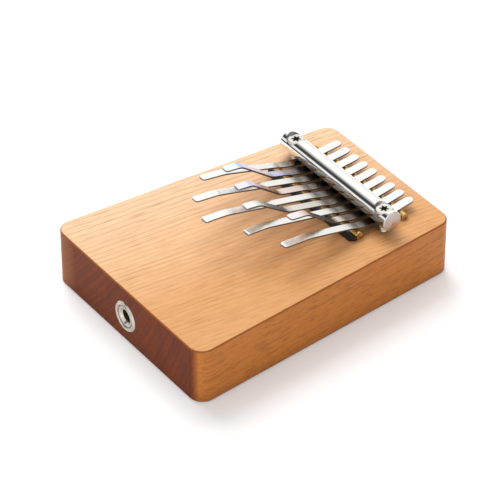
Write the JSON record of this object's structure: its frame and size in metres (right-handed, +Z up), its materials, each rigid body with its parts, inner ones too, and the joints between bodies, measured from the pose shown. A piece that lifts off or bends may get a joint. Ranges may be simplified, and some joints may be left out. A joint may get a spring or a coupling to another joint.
{
  "type": "thumb piano",
  "caption": "Electric thumb piano: cherry block with bent spring-steel tines clamped by a screwed chrome bar over brass bridge rods, and an output jack in the end face.",
  "frame": {"origin": "centre of the block's underside", "axes": "+Z up out of the playing face, +Y along the tines from the jack end to the bridge end, +X to the player's right seen from the jack end with the tines up"},
  "size_m": [0.1134, 0.1505, 0.0531],
  "materials": {
    "cherry": "fine-grained cherry, satin oil finish",
    "black_strip": "black, satin",
    "brass_rod": "bright drawn brass",
    "insert_brass": "turned brass",
    "chrome_bar": "polished, ends turned and brushed",
    "screw_steel": "bright plated steel",
    "spring_steel": "brushed spring steel with heat tints at the cranks",
    "nickel": "bright nickel plate",
    "jack_plastic": "black moulded plastic",
    "contact_brass": "bright sheet brass",
    "piezo_white": "silvered white ceramic",
    "red_wire": "red insulation",
    "black_wire": "black insulation",
    "cover_plastic": "black textured plastic"
  },
  "bodies": {
    "block": {"wooden_body": "cherry", "front_bridge_base": "black_strip", "front_bridge_rod": "brass_rod", "rear_bridge_rod": "brass_rod", "threaded_inserts": "insert_brass", "jack_barrel": "nickel", "jack_front_nut": "nickel", "jack_lock_washer": "nickel", "jack_ground_lug": "nickel", "jack_lock_nut": "nickel", "jack_insulator": "jack_plastic", "jack_tip_contact": "contact_brass", "piezo_plate": "contact_brass", "piezo_ceramic": "piezo_white", "signal_wire": "red_wire", "ground_wire": "black_wire", "pickup_cover": "cover_plastic", "cover_screws": "screw_steel"},
    "bar": {"pressure_bar": "chrome_bar"},
    "left_screw": {"pressure_screw_left": "screw_steel"},
    "right_screw": {"pressure_screw_right": "screw_steel"},
    "tine_1_clamped_end": {"tine_1_root": "spring_steel"},
    "tine_1_free_end": {"tine_1_tongue": "spring_steel"},
    "tine_2_clamped_end": {"tine_2_root": "spring_steel"},
    "tine_2_free_end": {"tine_2_tongue": "spring_steel"},
    "tine_3_clamped_end": {"tine_3_root": "spring_steel"},
    "tine_3_free_end": {"tine_3_tongue": "spring_steel"},
    "tine_4_clamped_end": {"tine_4_root": "spring_steel"},
    "tine_4_free_end": {"tine_4_tongue": "spring_steel"},
    "tine_5_clamped_end": {"tine_5_root": "spring_steel"},
    "tine_5_free_end": {"tine_5_tongue": "spring_steel"},
    "tine_6_clamped_end": {"tine_6_root": "spring_steel"},
    "tine_6_free_end": {"tine_6_tongue": "spring_steel"},
    "tine_7_clamped_end": {"tine_7_root": "spring_steel"},
    "tine_7_free_end": {"tine_7_tongue": "spring_steel"},
    "tine_8_clamped_end": {"tine_8_root": "spring_steel"},
    "tine_8_free_end": {"tine_8_tongue": "spring_steel"},
    "tine_9_clamped_end": {"tine_9_root": "spring_steel"},
    "tine_9_free_end": {"tine_9_tongue": "spring_steel"}
  },
  "joints": [
    {"name": "bar_lift", "type": "slide", "parent": "block", "child": "bar", "axis": [0, 0, 1], "range_m": [0, 0.0016]},
    {"name": "left_screw_turn", "type": "hinge", "parent": "bar", "child": "left_screw", "pos_m": [-0.0332, 0.045, 0.029], "axis": [0, 0, 1], "range_deg": [0, 720]},
    {"name": "right_screw_turn", "type": "hinge", "parent": "bar", "child": "right_screw", "pos_m": [0.0332, 0.045, 0.029], "axis": [0, 0, 1], "range_deg": [0, 720]},
    {"name": "tine_1_tune", "type": "slide", "parent": "block", "child": "tine_1_clamped_end", "axis": [0.045, 0.999, 0], "range_m": [-0.0009, 0.0009]},
    {"name": "tine_1_pluck", "type": "hinge", "parent": "tine_1_clamped_end", "child": "tine_1_free_end", "pos_m": [-0.02861, 0.0315, 0.0307], "axis": [1, 0, 0], "range_deg": [-3, 3], "stiffness_Nm_per_rad": 0.5},
    {"name": "tine_2_tune", "type": "slide", "parent": "block", "child": "tine_2_clamped_end", "axis": [0.0337, 0.9994, 0], "range_m": [-0.0009, 0.0009]},
    {"name": "tine_2_pluck", "type": "hinge", "parent": "tine_2_clamped_end", "child": "tine_2_free_end", "pos_m": [-0.02146, 0.0315, 0.0307], "axis": [1, 0, 0], "range_deg": [-3, 3], "stiffness_Nm_per_rad": 0.5},
    {"name": "tine_3_tune", "type": "slide", "parent": "block", "child": "tine_3_clamped_end", "axis": [0.0225, 0.9997, 0], "range_m": [-0.0009, 0.0009]},
    {"name": "tine_3_pluck", "type": "hinge", "parent": "tine_3_clamped_end", "child": "tine_3_free_end", "pos_m": [-0.0143, 0.0315, 0.0307], "axis": [1, 0, 0], "range_deg": [-3, 3], "stiffness_Nm_per_rad": 0.5},
    {"name": "tine_4_tune", "type": "slide", "parent": "block", "child": "tine_4_clamped_end", "axis": [0.0112, 0.9999, 0], "range_m": [-0.0009, 0.0009]},
    {"name": "tine_4_pluck", "type": "hinge", "parent": "tine_4_clamped_end", "child": "tine_4_free_end", "pos_m": [-0.00715, 0.0315, 0.0307], "axis": [1, 0, 0], "range_deg": [-3, 3], "stiffness_Nm_per_rad": 0.5},
    {"name": "tine_5_tune", "type": "slide", "parent": "block", "child": "tine_5_clamped_end", "axis": [0, 1, 0], "range_m": [-0.0009, 0.0009]},
    {"name": "tine_5_pluck", "type": "hinge", "parent": "tine_5_clamped_end", "child": "tine_5_free_end", "pos_m": [0, 0.0315, 0.0307], "axis": [1, 0, 0], "range_deg": [-3, 3], "stiffness_Nm_per_rad": 0.5},
    {"name": "tine_6_tune", "type": "slide", "parent": "block", "child": "tine_6_clamped_end", "axis": [-0.0112, 0.9999, 0], "range_m": [-0.0009, 0.0009]},
    {"name": "tine_6_pluck", "type": "hinge", "parent": "tine_6_clamped_end", "child": "tine_6_free_end", "pos_m": [0.00715, 0.0315, 0.0307], "axis": [1, 0, 0], "range_deg": [-3, 3], "stiffness_Nm_per_rad": 0.5},
    {"name": "tine_7_tune", "type": "slide", "parent": "block", "child": "tine_7_clamped_end", "axis": [-0.0225, 0.9997, 0], "range_m": [-0.0009, 0.0009]},
    {"name": "tine_7_pluck", "type": "hinge", "parent": "tine_7_clamped_end", "child": "tine_7_free_end", "pos_m": [0.0143, 0.0315, 0.0307], "axis": [1, 0, 0], "range_deg": [-3, 3], "stiffness_Nm_per_rad": 0.5},
    {"name": "tine_8_tune", "type": "slide", "parent": "block", "child": "tine_8_clamped_end", "axis": [-0.0337, 0.9994, 0], "range_m": [-0.0009, 0.0009]},
    {"name": "tine_8_pluck", "type": "hinge", "parent": "tine_8_clamped_end", "child": "tine_8_free_end", "pos_m": [0.02146, 0.0315, 0.0307], "axis": [1, 0, 0], "range_deg": [-3, 3], "stiffness_Nm_per_rad": 0.5},
    {"name": "tine_9_tune", "type": "slide", "parent": "block", "child": "tine_9_clamped_end", "axis": [-0.045, 0.999, 0], "range_m": [-0.0009, 0.0009]},
    {"name": "tine_9_pluck", "type": "hinge", "parent": "tine_9_clamped_end", "child": "tine_9_free_end", "pos_m": [0.02861, 0.0315, 0.0307], "axis": [1, 0, 0], "range_deg": [-3, 3], "stiffness_Nm_per_rad": 0.5}
  ],
  "couplings": [
    {"joint": "left_screw_turn", "follows": "bar_lift", "rad_per_m": 7854},
    {"joint": "right_screw_turn", "follows": "bar_lift", "rad_per_m": 7854}
  ]
}
